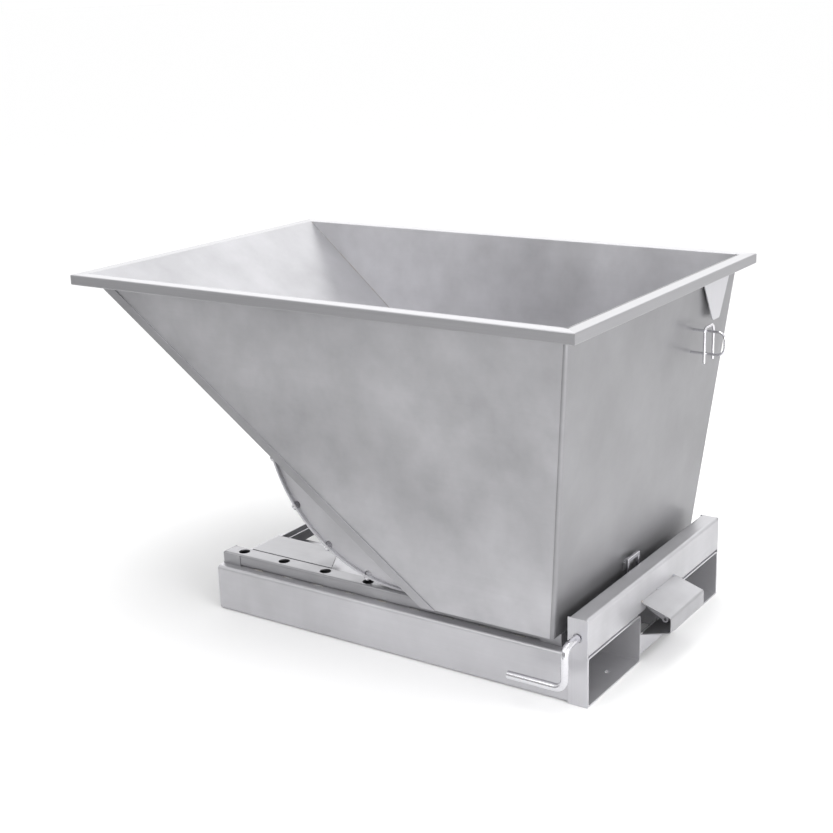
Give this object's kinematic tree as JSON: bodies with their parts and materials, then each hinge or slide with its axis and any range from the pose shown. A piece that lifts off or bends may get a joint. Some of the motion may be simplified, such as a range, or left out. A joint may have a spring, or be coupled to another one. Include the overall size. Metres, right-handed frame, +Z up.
{
  "type": "self-tipping skip",
  "caption": "Stainless self-tipping skip: tapered open hopper on toothed rockers that roll along a base with two fork pockets and a latch.",
  "frame": {"origin": "on the floor, in the middle of the whole skip's length and width", "axes": "+X towards the fork entry and the latch, -X towards the tipping lip, -Y the handle's side, +Z up"},
  "size_m": [1.6, 1.06, 0.965],
  "materials": {
    "hopper_sheet": "mill-finished stainless sheet, lightly brushed, cloudy",
    "base_sheet": "mill-finished stainless, bent and welded",
    "rim_tube": "ground stainless tube",
    "bright_bar": "bright drawn stainless bar",
    "cut_plate": "laser-cut stainless plate, brushed",
    "spring_steel": "drawn spring wire"
  },
  "bodies": {
    "base": {"fork_pocket_near": "base_sheet", "fork_pocket_far": "base_sheet", "rail_near": "base_sheet", "rail_far": "base_sheet", "rail_ends_near": "cut_plate", "rail_ends_far": "cut_plate", "front_gusset_near": "cut_plate", "front_gusset_far": "cut_plate", "front_channel": "base_sheet", "rear_beam": "base_sheet", "beam_end_near": "cut_plate", "beam_end_far": "cut_plate", "latch_hood": "base_sheet", "rear_tie": "cut_plate", "bearing_near": "cut_plate", "bearing_mid": "cut_plate", "latch_spring": "spring_steel"},
    "roll": {"roll_carrier": "cut_plate"},
    "hopper": {"side_wall_near": "hopper_sheet", "side_wall_far": "hopper_sheet", "front_slope": "hopper_sheet", "hopper_floor": "hopper_sheet", "rear_wall": "hopper_sheet", "rear_corner_near": "hopper_sheet", "rear_corner_far": "hopper_sheet", "rim_front": "rim_tube", "rim_rear": "rim_tube", "rim_near": "rim_tube", "rim_far": "rim_tube", "rocker_plate_near": "cut_plate", "rocker_plate_far": "cut_plate", "rocker_band_near": "cut_plate", "rocker_band_far": "cut_plate", "rocker_pegs_near": "bright_bar", "rocker_pegs_far": "bright_bar", "rim_gusset": "cut_plate", "rope_cleat": "bright_bar", "latch_nose": "cut_plate"},
    "latch": {"release_handle": "bright_bar", "shaft_collars": "bright_bar", "latch_bow": "cut_plate", "pull_lever": "cut_plate"}
  },
  "joints": [
    {"name": "rocker_travel", "type": "slide", "parent": "base", "child": "roll", "axis": [-1, 0, 0], "range_m": [0, 0.5806]},
    {"name": "hopper_tip", "type": "hinge", "parent": "roll", "child": "hopper", "pos_m": [0.147, 0, 0.6085], "axis": [0, -1, 0], "range_deg": [0, 75]},
    {"name": "latch_release", "type": "hinge", "parent": "base", "child": "latch", "pos_m": [0.689, 0, 0.181], "axis": [0, 1, 0], "range_deg": [-8, 4], "stiffness_Nm_per_rad": 30}
  ],
  "couplings": [
    {"joint": "rocker_travel", "follows": "hopper_tip", "m_per_rad": 0.4435}
  ]
}
